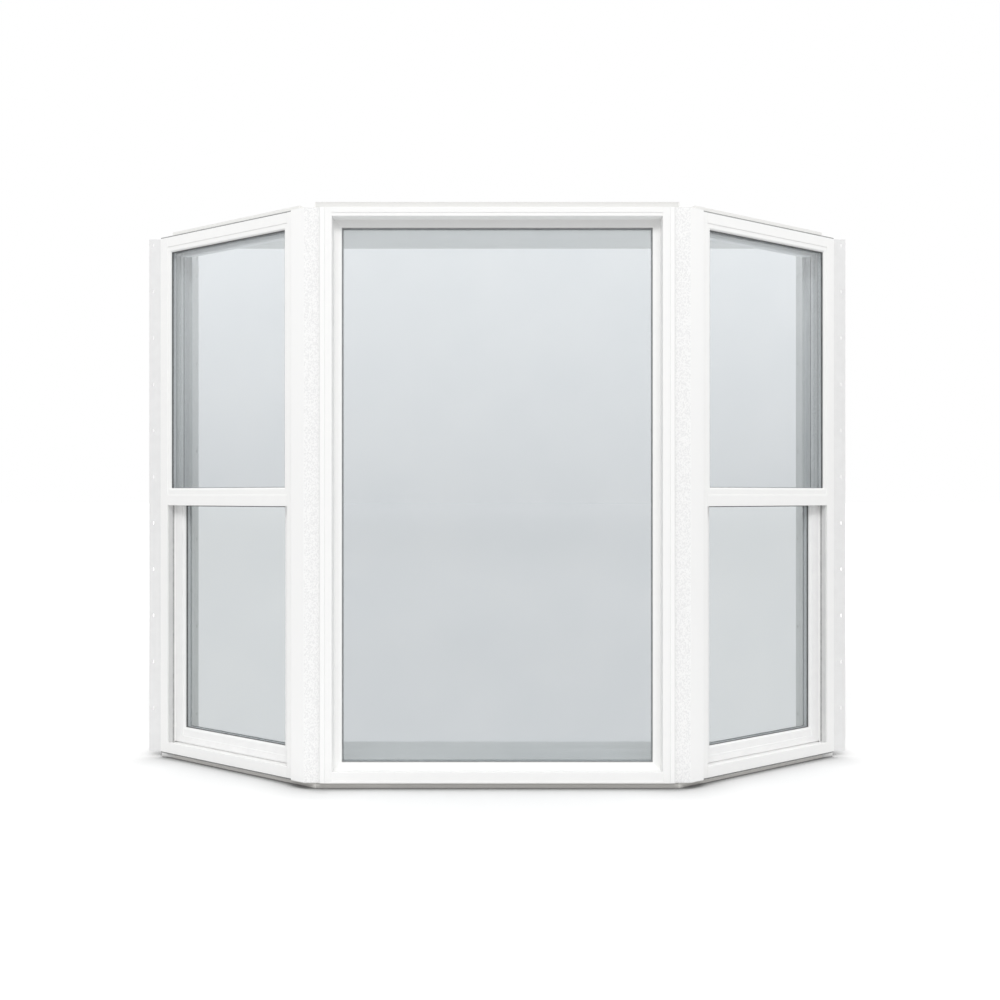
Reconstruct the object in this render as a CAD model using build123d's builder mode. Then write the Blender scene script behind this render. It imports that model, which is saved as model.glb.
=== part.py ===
"""A three-sided bay window: a fixed picture window between two angled single-hung windows.

The windows are vinyl and stand between a seat board and a head board. Millimetres, +Z up, +X to the
right as seen from outside, outside towards -Y. The origin is under the middle of the seat board, on
the plane of the wall sheathing, where the nail fins bear.
"""

import os
from math import cos, radians, sin, tan

from build123d import *

# ---------------------------------------------------------------- driving dimensions
frame_height = 1524.0  # all three window frames
center_width = 937.0  # picture window frame
flank_width = 533.4  # single-hung window frame
bay_angle = 30.0  # turn of each flanking window from the middle one
frame_depth = 83.0  # window frames, outside face to room face

# corner between two windows, measured from where their outside faces would meet
corner_to_center = 15.4
corner_to_flank = 65.6

# seat and head boards, side jambs
board_thick = 15.9
board_setback = 10.0  # board edge behind the faces of the windows
room_reach = 102.0  # sheathing plane to the room edge of the boards: the wall's thickness
side_jamb_thick = 39.0
notch_deep = 33.0  # notch in the head board at each corner, where a support cable comes down
notch_past_flank = 5.0  # from the single-hung window's edge to the notch

# seals along the head and the sill of each single-hung window, in front of the boards
seal_setback = 2.0
seal_height = 4.5

# window frames
jamb_face = 31.0
center_head_face = 24.0
center_sill_face = 29.0
center_sill_seat = 24.8  # what the glazing frame stands on, behind the sill's nose
flank_head_face = 28.5
face_step = 1.2  # head and sill faces lie this far behind the jamb faces
head_lip = 14.3  # band of the picture window's head that is flush with its jambs
sill_foot = 5.5  # foot of each sill, which runs under the jambs
nose_thick = 3.0  # nose along the outside of each sill
soft_edge = 1.0  # rounding of the vinyl's outside edges
trim_groove = 4.0  # square groove near the room side, for trim
trim_groove_setback = 8.0  # from the room face

# glazing: a frame round each glass unit, with a bead outside
unit_thick = 16.0
glazing_rebate = 9.0  # how far a glass unit reaches behind its bead
edge_gap = 0.5  # glass edge to the frame round it
bead_lip = 4.0  # lip of the bead at the glass, as thick as its gasket
center_setback = 35.0  # glazing frame behind the face of the picture window
center_bead = 19.6  # width of the bead
center_fall = 4.5  # from the bead's outer edge back to its lip
center_land = 2.5  # flat edge of the bead at its lip
center_stop = 6.0  # on the room side of the glass
center_pane = 4.0
upper_setback = 1.5
upper_side_bead = 11.5
upper_bottom_bead = 20.0
upper_top_bead = 15.5
upper_round = 5.0  # rounding of the bead, back to its lip
upper_stop = 2.2
flank_pane = 3.0
spacer_width = 7.0
gasket_width = 2.2
gasket_foot = 1.4  # width along the bottom of the glass
upper_gasket_foot = 0.4

# lower sash of the single-hung windows
sash_stile = 40.0  # members without their beads
sash_bottom_rail = 19.0
sash_top_rail = 16.5
sash_side_bead = 8.0
sash_bottom_bead = 25.0
sash_top_bead = 15.0
sash_step = 2.0  # bead below the face of the sash
sash_round = 6.0
sash_stop = 4.0
sash_gap = 0.3  # running gap to the upper light's frame
lift_length = 240.0
lift_reach = 12.0
lift_thick = 5.0

# what the frame of a single-hung window holds the sash with
track_deep = 11.0  # how far the sash track cuts into a jamb
track_play = 1.0
balance_width = 16.0
balance_deep = 10.0
screen_lip = 2.0  # front edge of the jamb, before the groove for the screen's frame
screen_groove = 2.5  # width and depth of that groove
brush_groove = 7.0  # width of the groove for the sash's brush seal
brush_groove_deep = 3.0
brush_lip = 3.0  # between that groove and the sash
sill_nose = 30.3  # height of the sill's nose
sill_gutter = 24.0  # height of the gutter behind the nose
sill_fall = 1.5  # rise of the gutter's floor to the sash
sill_seat = 3.0  # step that the sash stands on
sill_seat_setback = 5.0  # the step's front behind the face of the sash
sill_dam = 13.0  # upstand behind the sash

# meeting rails: the fixed one and the sash's top rail hook into each other
meeting_height = 31.0
meeting_drop = 30.4  # foot of the fixed rail below the middle of the frame
rail_gap = 2.0  # fixed rail to the face of the sash
hook_thick = 2.4
hook_deep = 7.0  # pocket in the back of the fixed rail
hook_low = 8.0  # floor of the pocket above the foot of the rail
hook_lip = 6.0
hook_room = 14.0  # height of the pocket
hook_play = 1.2

# corner cover and corner post
cover_thick = 2.0
cover_lip = 11.5  # over the face of the picture window
cover_flank_lip = 6.0  # over the face of the single-hung window
cover_back = 3.0  # front of the cover behind the face of the picture window
cover_front = 44.0
cover_short = 1.0  # cover shorter than the frames at each end
cover_bend_radius = 3.0

# nail fins
fin_width = 34.5
fin_thick = 1.6
fin_leg = 26.0
fin_setback = 3.0  # front of the fin behind the corner of the frame
slot_width = 4.0
slot_length = 10.0
slot_pitch = 137.8
slot_from_top = 18.0
slot_from_corner = 22.0

# sash locks
lock_length = 62.0
lock_width = 20.0
lock_base = 6.0
lock_lever = 46.0
lock_lever_width = 9.0
lock_lever_height = 5.0
lock_lever_turn = 8.0  # degrees off the line of the rail
lock_soft_edge = 1.2

# ---------------------------------------------------------------- derived places
turn = radians(bay_angle)
near_x = center_width / 2 + corner_to_center + corner_to_flank * cos(turn)
near_y = corner_to_flank * sin(turn)
far_y = near_y + flank_width * sin(turn)
projection = far_y + fin_setback + fin_thick  # face of the picture window to the sheathing plane
front_y = -projection
sill_z = board_thick
head_z = sill_z + frame_height
meeting_bottom = sill_z + frame_height / 2 - meeting_drop
meeting_top = meeting_bottom + meeting_height

WIDTHS = {-1: flank_width, 0: center_width, 1: flank_width}
FLANKS = (("left", -1), ("right", 1))


# ---------------------------------------------------------------- places on a window
# A side is -1 for the left window, 0 for the middle one and 1 for the right one.
def spot(side, s, n):
    """Plan point on a window: s along its outside face from mid-width, n behind the face."""
    a = side * turn
    mid_x = side * (near_x + flank_width / 2 * cos(turn))
    mid_y = front_y + abs(side) * (near_y + flank_width / 2 * sin(turn))
    return (mid_x + s * cos(a) - n * sin(a), mid_y + s * sin(a) + n * cos(a))


def along(side):
    """Direction along a window, towards the right as seen from outside."""
    return (cos(side * turn), sin(side * turn), 0)


def inward(side):
    """Direction through a window, from outside to the room."""
    return (-sin(side * turn), cos(side * turn), 0)


def face_plane(side, n, z):
    """Upright plane n behind the outside face: x along the face, y up, normal to the outside."""
    outward = tuple(-d for d in inward(side))
    return Plane(origin=(*spot(side, 0, n), z), x_dir=along(side), z_dir=outward)


def section_plane(side, s):
    """Upright plane across a window at s: x is depth behind the face, y is height."""
    return Plane(origin=(*spot(side, s, 0), 0), x_dir=inward(side), z_dir=along(side))


def level_plane(side, n, z):
    """Level plane at mid-width, n behind the outside face: x along the face, y to the room."""
    return Plane(origin=(*spot(side, 0, n), z), x_dir=along(side), z_dir=(0, 0, 1))


def jamb_points(side, hand, section):
    """Plan points of a jamb section, given as (inset from the frame's edge, depth, rounding)."""
    half = WIDTHS[side] / 2
    return [(*spot(side, hand * (half - a), n), *rounding) for a, n, *rounding in section]


def save(piece, name):
    """Label a finished piece and write it as its own STEP file."""
    piece.part.label = name
    export_step(piece.part, f"parts/{name}.step")


# ---------------------------------------------------------------- repeated forms
def outline(points):
    """A closed outline through (x, y) or (x, y, rounding) points."""
    radii = [rounding[0] if rounding else 0 for x, y, *rounding in points]
    FilletPolyline(*[(x, y) for x, y, *rounding in points], radius=radii, close=True)


def upright(points, bottom, top):
    """A post of one plan section."""
    with BuildPart() as post:
        with BuildSketch(Plane.XY.offset(bottom)):
            with BuildLine():
                outline(points)
            make_face()
        extrude(amount=top - bottom)
    return post


def crossbar(side, section, length, mode=Mode.ADD):
    """Run an upright section, given as (depth, height), along the middle of a window."""
    with BuildSketch(section_plane(side, -length / 2)) as profile:
        with BuildLine():
            outline(section)
        make_face()
    extrude(profile.sketch, amount=length, mode=mode)


def slab(side, size, front, back, mode=Mode.ADD):
    """A plain slab between two depths; size is its (width, bottom, top)."""
    width, bottom, top = size
    with BuildSketch(face_plane(side, front, (bottom + top) / 2)) as face:
        Rectangle(width, top - bottom)
    extrude(face.sketch, amount=front - back, mode=mode)


def inset(size, border):
    """A (width, bottom, top) size, smaller by one border, or by a (side, bottom, top) border."""
    width, bottom, top = size
    edge, foot, head = border if isinstance(border, tuple) else (border, border, border)
    return (width - 2 * edge, bottom + foot, top - head)


def glazing(side, rim, sight, front, glass_front, stop):
    """A frame round a glass unit: rim is its outer (width, bottom, top) and sight its opening."""
    glass_back = glass_front + unit_thick
    slab(side, rim, front, glass_back + stop)
    slab(side, inset(sight, -glazing_rebate), glass_front, glass_back, Mode.SUBTRACT)
    slab(side, sight, front, glass_back + stop, Mode.SUBTRACT)


def rounded_bead(side, radius):
    """Round the outside edges of the opening that was cut last."""
    fillet(edges(Select.LAST).group_by(Axis((0, 0, 0), inward(side)))[0], radius)


def sloped_bead(side, mouth, lip, front, fall):
    """Slope a frame from its outer edge, the mouth, back to the opening at its lip."""
    faces = []
    for size, depth in ((mouth, front), (lip, front + fall)):
        width, bottom, top = size
        with BuildSketch(face_plane(side, depth, (bottom + top) / 2)) as section:
            Rectangle(width, top - bottom)
        faces.append(section.sketch.face())
    loft(faces, mode=Mode.SUBTRACT)


def glass_unit(side, sight, front, pane):
    """Two panes with a sealed space between them."""
    size = inset(sight, edge_gap - glazing_rebate)
    with BuildPart() as unit:
        slab(side, size, front, front + pane)
        slab(side, size, front + unit_thick - pane, front + unit_thick)
    return unit


def spacer(side, sight, front, pane):
    """The bar between two panes, along their edges."""
    size = inset(sight, edge_gap - glazing_rebate)
    slab(side, size, front + pane, front + unit_thick - pane)
    hole = inset(size, spacer_width)
    slab(side, hole, front + pane, front + unit_thick - pane, Mode.SUBTRACT)


def gasket(side, sight, front, foot):
    """The strip between a bead's lip and its glass; foot is its width along the bottom."""
    slab(side, sight, front - bead_lip, front)
    hole = inset(sight, (gasket_width, foot, gasket_width))
    slab(side, hole, front - bead_lip, front, Mode.SUBTRACT)


# ---------------------------------------------------------------- boards and side jambs
os.makedirs("parts", exist_ok=True)

corner_x = center_width / 2 + corner_to_center
board_half, flank_room_y = spot(1, flank_width / 2, frame_depth)
board_front = front_y + board_setback
board_corner = corner_x - board_setback * tan(turn / 2)
board_bend = board_front + (board_half - board_corner) * tan(turn)
board_outline = [
    (-board_corner, board_front),
    (board_corner, board_front),
    (board_half, board_bend),
    (board_half, room_reach),
    (-board_half, room_reach),
    (-board_half, board_bend),
]
notch_s = -flank_width / 2 - notch_past_flank
notch_outline = [
    (corner_x, front_y),
    (corner_x, board_front + notch_deep),
    spot(1, notch_s, board_setback + notch_deep),
    spot(1, notch_s, 0),
]
seat_board = upright(board_outline, 0, board_thick)
save(seat_board, "seat_board")

head_board = upright(board_outline, head_z, head_z + board_thick)
with head_board:
    for name, side in FLANKS:
        with BuildSketch(Plane.XY.offset(head_z)) as notch:
            with BuildLine():
                Polyline(*[(side * x, y) for x, y in notch_outline], close=True)
            make_face()
        extrude(notch.sketch, amount=board_thick, mode=Mode.SUBTRACT)
save(head_board, "head_board")

jamb_inner_x = board_half - side_jamb_thick
side_jamb_outline = [
    (jamb_inner_x, flank_room_y - side_jamb_thick * tan(turn)),
    (board_half, flank_room_y),
    (board_half, room_reach),
    (jamb_inner_x, room_reach),
]
for name, side in FLANKS:
    side_jamb = upright([(side * x, y) for x, y in side_jamb_outline], sill_z, head_z)
    save(side_jamb, f"{name}_side_jamb")

# ---------------------------------------------------------------- picture window
center_clear = center_width - 2 * jamb_face
center_low = sill_z + center_sill_seat
center_high = head_z - center_head_face
groove_back = frame_depth - trim_groove_setback
groove_front = groove_back - trim_groove

center_section = [
    (0, 0, soft_edge),
    (jamb_face, 0, soft_edge),
    (jamb_face, groove_front),
    (jamb_face - trim_groove, groove_front),
    (jamb_face - trim_groove, groove_back),
    (jamb_face, groove_back),
    (jamb_face, frame_depth),
    (0, frame_depth),
]
for name, hand in (("left", -1), ("right", 1)):
    center_jamb = upright(jamb_points(0, hand, center_section), sill_z + sill_foot, head_z)
    save(center_jamb, f"center_frame_{name}_jamb")

head_section = [
    (0, head_z, soft_edge),
    (0, head_z - head_lip),
    (face_step, head_z - head_lip),
    (face_step, center_high, soft_edge),
    (groove_front, center_high),
    (groove_front, center_high + trim_groove),
    (groove_back, center_high + trim_groove),
    (groove_back, center_high),
    (frame_depth, center_high),
    (frame_depth, head_z),
]
with BuildPart() as center_head:
    crossbar(0, head_section, center_clear)
save(center_head, "center_frame_head")

nose_z = sill_z + center_sill_face
sill_section = [
    (face_step, sill_z + sill_foot),
    (face_step, nose_z, soft_edge),
    (face_step + nose_thick, nose_z),
    (face_step + nose_thick, center_low),
    (groove_front, center_low),
    (groove_front, center_low - trim_groove),
    (groove_back, center_low - trim_groove),
    (groove_back, center_low),
    (frame_depth, center_low),
    (frame_depth, sill_z + sill_foot),
]
with BuildPart() as center_sill:
    slab(0, (center_width, sill_z, sill_z + sill_foot), 0, frame_depth)
    crossbar(0, sill_section, center_clear)
save(center_sill, "center_frame_sill")

center_rim = (center_clear, center_low, center_high)
center_sight = inset(center_rim, center_bead)
center_glass_front = center_setback + center_fall + bead_lip
with BuildPart() as center_glazing:
    glazing(0, center_rim, center_sight, center_setback, center_glass_front, center_stop)
    sloped_bead(0, center_rim, inset(center_sight, -center_land), center_setback, center_fall)
save(center_glazing, "center_glazing_frame")

center_glass = glass_unit(0, center_sight, center_glass_front, center_pane)
save(center_glass, "center_glass")

# ---------------------------------------------------------------- single-hung frames
upper_glass_front = upper_setback + upper_round + bead_lip
upper_back = upper_glass_front + unit_thick + upper_stop
sash_setback = upper_back + sash_gap
sash_glass_front = sash_setback + sash_step + sash_round + bead_lip
sash_back = sash_glass_front + unit_thick + sash_stop
track_back = sash_back + track_play
balance_front = (sash_setback + track_back - balance_width) / 2
flank_clear = flank_width - 2 * jamb_face
flank_high = head_z - flank_head_face
track_floor = jamb_face - track_deep
brush_back = sash_setback - brush_lip
brush_floor = jamb_face - brush_groove_deep

flank_section = [
    (0, 0, soft_edge),
    (jamb_face, 0, soft_edge),
    (jamb_face, screen_lip),
    (jamb_face - screen_groove, screen_lip),
    (jamb_face - screen_groove, screen_lip + screen_groove),
    (jamb_face, screen_lip + screen_groove),
    (jamb_face, brush_back - brush_groove),
    (brush_floor, brush_back - brush_groove),
    (brush_floor, brush_back),
    (jamb_face, brush_back),
    (jamb_face, sash_setback),
    (track_floor, sash_setback),
    (track_floor, balance_front),
    (track_floor - balance_deep, balance_front),
    (track_floor - balance_deep, balance_front + balance_width),
    (track_floor, balance_front + balance_width),
    (track_floor, track_back),
    (jamb_face, track_back),
    (jamb_face, frame_depth),
    (0, frame_depth),
]
flank_head_section = [
    (0, head_z, soft_edge),
    (0, flank_high, soft_edge),
    (sash_setback, flank_high),
    (sash_setback, flank_high + track_deep),
    (track_back, flank_high + track_deep),
    (track_back, flank_high),
    (frame_depth, flank_high),
    (frame_depth, head_z),
]
gutter_z = sill_z + sill_gutter
seat_front = sash_setback + sill_seat_setback
sash_bottom = gutter_z + sill_fall + sill_seat
flank_sill_section = [
    (0, sill_z + sill_foot),
    (0, sill_z + sill_nose, soft_edge),
    (nose_thick, sill_z + sill_nose, soft_edge),
    (nose_thick, gutter_z),
    (seat_front, gutter_z + sill_fall),
    (seat_front, sash_bottom),
    (track_back, sash_bottom),
    (track_back, sash_bottom + sill_dam),
    (frame_depth, sash_bottom + sill_dam),
    (frame_depth, sill_z + sill_foot),
]
for name, side in FLANKS:
    for place, hand in (("outer", side), ("inner", -side)):
        flank_jamb = upright(jamb_points(side, hand, flank_section), sill_z + sill_foot, head_z)
        save(flank_jamb, f"{name}_frame_{place}_jamb")

    with BuildPart() as flank_head:
        crossbar(side, flank_head_section, flank_clear)
    save(flank_head, f"{name}_frame_head")

    with BuildPart() as flank_sill:
        slab(side, (flank_width, sill_z, sill_z + sill_foot), 0, frame_depth)
        crossbar(side, flank_sill_section, flank_clear)
    save(flank_sill, f"{name}_frame_sill")

seal_section = [
    (seal_setback, 0),
    (board_setback, 0),
    (board_setback, seal_height),
    (seal_setback, seal_height, seal_height / 2),
]
with BuildPart() as frame_seals:
    for name, side in FLANKS:
        for edge, up in ((head_z, 1), (sill_z, -1)):
            section = [(n, edge + up * z, *rounding) for n, z, *rounding in seal_section]
            crossbar(side, section, flank_width)
save(frame_seals, "frame_seals")

# ---------------------------------------------------------------- upper lights
upper_rim = (flank_clear, meeting_top, flank_high)
upper_sight = inset(upper_rim, (upper_side_bead, upper_bottom_bead, upper_top_bead))
rail_back = sash_setback - rail_gap
hook_floor = meeting_bottom + hook_low
fixed_rail_section = [
    (0, meeting_bottom, soft_edge),
    (rail_back, meeting_bottom),
    (rail_back, hook_floor + hook_lip),
    (rail_back - hook_thick, hook_floor + hook_lip),
    (rail_back - hook_thick, hook_floor),
    (rail_back - hook_deep, hook_floor),
    (rail_back - hook_deep, hook_floor + hook_room),
    (rail_back, hook_floor + hook_room),
    (rail_back, meeting_top),
    (0, meeting_top, soft_edge),
]
for name, side in FLANKS:
    with BuildPart() as upper_glazing:
        glazing(side, upper_rim, upper_sight, upper_setback, upper_glass_front, upper_stop)
        rounded_bead(side, upper_round)
    save(upper_glazing, f"{name}_upper_glazing_frame")

    upper_glass = glass_unit(side, upper_sight, upper_glass_front, flank_pane)
    save(upper_glass, f"{name}_upper_glass")

    with BuildPart() as meeting_rail:
        crossbar(side, fixed_rail_section, flank_clear)
    save(meeting_rail, f"{name}_meeting_rail")

# ---------------------------------------------------------------- lower sashes
sash_width = flank_clear + 2 * (track_deep - track_play)
sash_top = meeting_top
sash_rim = (sash_width, sash_bottom, sash_top)
sash_mouth = inset(sash_rim, (sash_stile, sash_bottom_rail, sash_top_rail))
sash_sight = inset(sash_mouth, (sash_side_bead, sash_bottom_bead, sash_top_bead))
sight_width, sight_bottom, sight_top = sash_sight


def sash_part(side, region):
    """One member of a sash: the whole glazed frame, cut to its region between two miters."""
    bead_front = sash_setback + sash_step
    with BuildPart() as member:
        slab(side, sash_rim, sash_setback, bead_front)
        slab(side, sash_mouth, sash_setback, bead_front, Mode.SUBTRACT)
        glazing(side, sash_rim, sash_sight, bead_front, sash_glass_front, sash_stop)
        rounded_bead(side, sash_round)
        with BuildSketch(face_plane(side, sash_setback, 0)):
            with BuildLine():
                Polyline(*region, close=True)
            make_face()
        extrude(amount=sash_setback - sash_back, mode=Mode.INTERSECT)
    return member


def miter(hand, end):
    """Outline points of a sash corner's miter, outwards. It follows the seam of the rounded bead.

    The hand is -1 for left and 1 for right; the end is -1 for the bottom and 1 for the top.
    """
    inner_x, inner_z = hand * sight_width / 2, sight_top if end == 1 else sight_bottom
    outer_z = sash_top if end == 1 else sash_bottom
    seam = (inner_x + hand * sash_round, inner_z + end * sash_round)
    return [(inner_x, inner_z), seam, (hand * sash_width / 2, outer_z)]


def rail(end):
    """The outline between the miters of the bottom or the top rail."""
    return miter(-1, end) + miter(1, end)[::-1]


def stile(hand):
    """The outline between the miters of a stile."""
    return miter(hand, -1) + miter(hand, 1)[::-1]


# the hook on the top rail drops into the pocket of the fixed meeting rail
hook_front = rail_back - hook_deep + hook_play
hook_top = hook_floor + hook_lip + hook_play + hook_thick
hook_root = sash_glass_front - bead_lip / 2
hook_section = [
    (hook_root, hook_top),
    (hook_front, hook_top),
    (hook_front, hook_floor + hook_play),
    (hook_front + hook_thick, hook_floor + hook_play),
    (hook_front + hook_thick, hook_top - hook_thick),
    (hook_root, hook_top - hook_thick),
]
# the lift is a finger lip along the room side of the bottom rail
lift_z = sash_bottom + sill_dam + lift_thick
lift_section = [
    (sash_back, lift_z),
    (sash_back + lift_reach, lift_z),
    (sash_back + lift_reach, lift_z + lift_thick, lift_thick / 2),
    (sash_back, lift_z + lift_thick),
]
for name, side in FLANKS:
    bottom_rail = sash_part(side, rail(-1))
    with bottom_rail:
        crossbar(side, lift_section, lift_length)
    save(bottom_rail, f"{name}_sash_bottom_rail")

    top_rail = sash_part(side, rail(1))
    with top_rail:
        crossbar(side, hook_section, sight_width)
    save(top_rail, f"{name}_sash_top_rail")

    for place, hand in (("outer", side), ("inner", -side)):
        sash_stile_part = sash_part(side, stile(hand))
        save(sash_stile_part, f"{name}_sash_{place}_stile")

    lower_glass = glass_unit(side, sash_sight, sash_glass_front, flank_pane)
    save(lower_glass, f"{name}_lower_glass")

    with BuildPart() as sash_lock:
        with BuildSketch(level_plane(side, (sash_setback + sash_back) / 2, sash_top)):
            SlotOverall(lock_length, lock_width)
        extrude(amount=lock_base)
        fillet(sash_lock.edges().group_by(Axis.Z)[-1], lock_soft_edge)
        with BuildSketch(level_plane(side, (sash_setback + sash_back) / 2, sash_top + lock_base)):
            SlotOverall(lock_lever, lock_lever_width, rotation=lock_lever_turn)
        extrude(amount=lock_lever_height)
        fillet(sash_lock.edges().group_by(Axis.Z)[-1], lock_soft_edge)
    save(sash_lock, f"{name}_sash_lock")

# ---------------------------------------------------------------- spacers and gaskets of the glass
with BuildPart() as glass_spacers:
    spacer(0, center_sight, center_glass_front, center_pane)
    for name, side in FLANKS:
        spacer(side, upper_sight, upper_glass_front, flank_pane)
        spacer(side, sash_sight, sash_glass_front, flank_pane)
save(glass_spacers, "glass_spacers")

with BuildPart() as glass_gaskets:
    gasket(0, center_sight, center_glass_front, gasket_foot)
    for name, side in FLANKS:
        gasket(side, upper_sight, upper_glass_front, upper_gasket_foot)
        gasket(side, sash_sight, sash_glass_front, gasket_foot)
save(glass_gaskets, "glass_gaskets")

# ---------------------------------------------------------------- corner posts and covers
center_edge = center_width / 2
cover_bend = center_edge + cover_front
near_outside = spot(1, -flank_width / 2, 0)
near_room = spot(1, -flank_width / 2, frame_depth)
cover_y = front_y + cover_back


def beside_flank(s, proud):
    """Plan point near the right window's inner edge: s past the edge and proud of its face."""
    return spot(1, -flank_width / 2 + s, -proud)


# the cover's flanking facet is parallel to the window beside it
facet_proud = (cover_bend - near_outside[0]) * sin(turn) - (cover_y - near_outside[1]) * cos(turn)
inner_proud = facet_proud - cover_thick
inner_bend = cover_bend - cover_thick * tan(turn / 2)
cover_outline = [
    (center_edge - cover_lip, front_y),
    (center_edge - cover_lip, front_y - cover_thick, soft_edge),
    (center_edge + cover_thick, front_y - cover_thick, soft_edge),
    (center_edge + cover_thick, cover_y),
    (cover_bend, cover_y, cover_bend_radius),
    (*beside_flank(cover_flank_lip, facet_proud), soft_edge),
    beside_flank(cover_flank_lip, 0),
    beside_flank(cover_flank_lip - cover_thick, 0),
    beside_flank(cover_flank_lip - cover_thick, inner_proud),
    (inner_bend, cover_y + cover_thick),
    (center_edge, cover_y + cover_thick),
    (center_edge, front_y),
]
post_outline = [
    (center_edge, cover_y + cover_thick),
    (inner_bend, cover_y + cover_thick),
    beside_flank(0, inner_proud),
    near_outside,
    near_room,
    (center_edge, front_y + frame_depth),
]
for name, side in FLANKS:
    cover_points = [(side * x, y, *rounding) for x, y, *rounding in cover_outline]
    cover = upright(cover_points, sill_z + cover_short, head_z - cover_short)
    save(cover, f"{name}_corner_cover")

    post = upright([(side * x, y) for x, y in post_outline], sill_z, head_z)
    save(post, f"{name}_corner_post")

# ---------------------------------------------------------------- nail fins
fin_root = fin_setback / cos(turn)  # along the frame's side, where the fin's front plane crosses it
fin_inner_x = spot(1, flank_width / 2, fin_root)[0]
far_x = spot(1, flank_width / 2, 0)[0]
fin_outline = [
    (fin_inner_x, -fin_thick),
    (far_x + fin_width, -fin_thick),
    (far_x + fin_width, 0),
    (fin_inner_x, 0),
]
leg_outline = [
    spot(1, flank_width / 2, fin_root),
    spot(1, flank_width / 2 + fin_thick, fin_root),
    spot(1, flank_width / 2 + fin_thick, fin_leg),
    spot(1, flank_width / 2, fin_leg),
]
slot_count = int((frame_height - 2 * slot_from_top) // slot_pitch) + 1
for name, side in FLANKS:
    with BuildPart() as nail_fin:
        for points in (fin_outline, leg_outline):
            with BuildSketch(Plane.XY.offset(sill_z)):
                with BuildLine():
                    Polyline(*[(side * x, y) for x, y in points], close=True)
                make_face()
            extrude(amount=frame_height)
        with BuildSketch(Plane.XZ):
            for i in range(slot_count):
                with Locations((side * (far_x + slot_from_corner), head_z - slot_from_top - i * slot_pitch)):
                    SlotOverall(slot_length, slot_width, rotation=90)
        extrude(amount=fin_thick, mode=Mode.SUBTRACT)
    save(nail_fin, f"{name}_nail_fin")
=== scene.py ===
import math
import random

import bmesh
import bpy
from mathutils import Matrix, Vector


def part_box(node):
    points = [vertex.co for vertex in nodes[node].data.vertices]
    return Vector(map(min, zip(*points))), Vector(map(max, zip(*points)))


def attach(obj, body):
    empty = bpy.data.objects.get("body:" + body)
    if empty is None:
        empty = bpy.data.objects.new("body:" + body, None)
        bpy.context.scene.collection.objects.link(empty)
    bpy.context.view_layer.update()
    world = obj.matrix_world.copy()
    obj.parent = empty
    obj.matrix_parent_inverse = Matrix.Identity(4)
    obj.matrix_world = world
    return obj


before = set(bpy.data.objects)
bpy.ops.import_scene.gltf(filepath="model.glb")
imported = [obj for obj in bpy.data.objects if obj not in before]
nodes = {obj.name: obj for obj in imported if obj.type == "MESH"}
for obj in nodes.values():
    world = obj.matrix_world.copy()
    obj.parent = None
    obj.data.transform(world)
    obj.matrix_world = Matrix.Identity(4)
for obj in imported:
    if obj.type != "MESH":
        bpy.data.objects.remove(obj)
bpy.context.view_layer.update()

MM = 0.001
NEAR = 1e-5  # how near a level or an end a vertex counts as on it
X, Y, Z = 0, 1, 2
FLANKS = (("left", -1), ("right", 1))  # the single-hung windows, and the side of X they stand on

# ---------------------------------------------------------------- settings: camera and light
CAMERA_DISTANCE = 2.371  # in front of the picture window's face
CAMERA_LENS = 32.3
CAMERA_SENSOR = 36.0
CAMERA_SHIFT = (0.0027, -0.0049)

# the white world as (sine of the elevation, strength), low down and high up
SKY_LIGHT = ((0.0, 0.70), (1.0, 0.86))  # as it lights matt surfaces
REFLECTION = ((0.0, 0.50), (0.26, 1.65))  # in reflections
KEY_POWER = 380.0
KEY_SIZE = (6.0, 3.0)
KEY_PLACE = (0.0, -7.4, 7.0)

# the floor as (grey of its base color, strength of its glow), by the way it is met
FLOOR_NEAR = (1.0, 0.04)  # seen by the camera, near the origin
FLOOR_FAR = (1.0, 0.40)  # and far off
FLOOR_THROUGH_GLASS = ((0.10, 0.865), (0.10, 0.875), (0.10, 0.935))  # near, far and at the horizon
FLOOR_MIRRORED = (0.25, 0.25)
FLOOR_LIT_CLOSE = (0.72, 0.0)  # as it lights matt surfaces: close to the origin,
FLOOR_LIT_FRONT = (0.46, 0.0)  # farther off
FLOOR_LIT_BACK = (0.95, 0.08)  # and behind the object
# where one turns into the next: distances from the origin, and for the last one places along Y
TURNS_FAR = (1.6, 4.0)
TURNS_HORIZON = (8.0, 40.0)
CLOSE_ENDS = (1.0, 1.7)
BACK_BEGINS = (-0.2, 0.4)
FLOOR_REACH = 80.0
# the shadow where the object stands: as the share of open air goes from the first number to the
# second, the floor goes from the third number's share of its color and glow to all of it
CONTACT_REACH = 0.12
CONTACT_CORE = (0.45, 0.71, 0.20)
CONTACT_FRINGE = (0.60, 1.0, 0.70)

# ---------------------------------------------------------------- settings: colors
# pairs are a material's two tones, which a noise or the plies mix
WHITE_VINYL = ((0.96, 0.96, 0.95), (0.94, 0.94, 0.935))
SASH_VINYL = ((0.94, 0.94, 0.935), (0.905, 0.905, 0.905))
FIN_VINYL = ((0.84, 0.84, 0.84), (0.80, 0.80, 0.80))
# grey of the jambs' inserts and facings: painted shade in the recesses beside the sashes
SHADED_INSERT_VINYL = ((0.74, 0.74, 0.735), (0.69, 0.69, 0.69))
COVER_PLAIN = (0.965, 0.965, 0.96)
COVER_HOLLOWS = (0.86, 0.86, 0.86)  # pressed into the grained face
# painted shade: a dark line in the crease beside the picture window and on the cut edges
COVER_SHADE = (0.62, 0.62, 0.62)  # cut edges, and the crease beside the picture window
PICTURE_GASKET = (0.31, 0.313, 0.315)
FLANK_GASKET = (0.125, 0.128, 0.13)
PRIMER = ((0.83, 0.835, 0.82), (0.77, 0.775, 0.76))
PRIMED_PLIES = ((0.81, 0.81, 0.795), (0.73, 0.725, 0.705))
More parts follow.
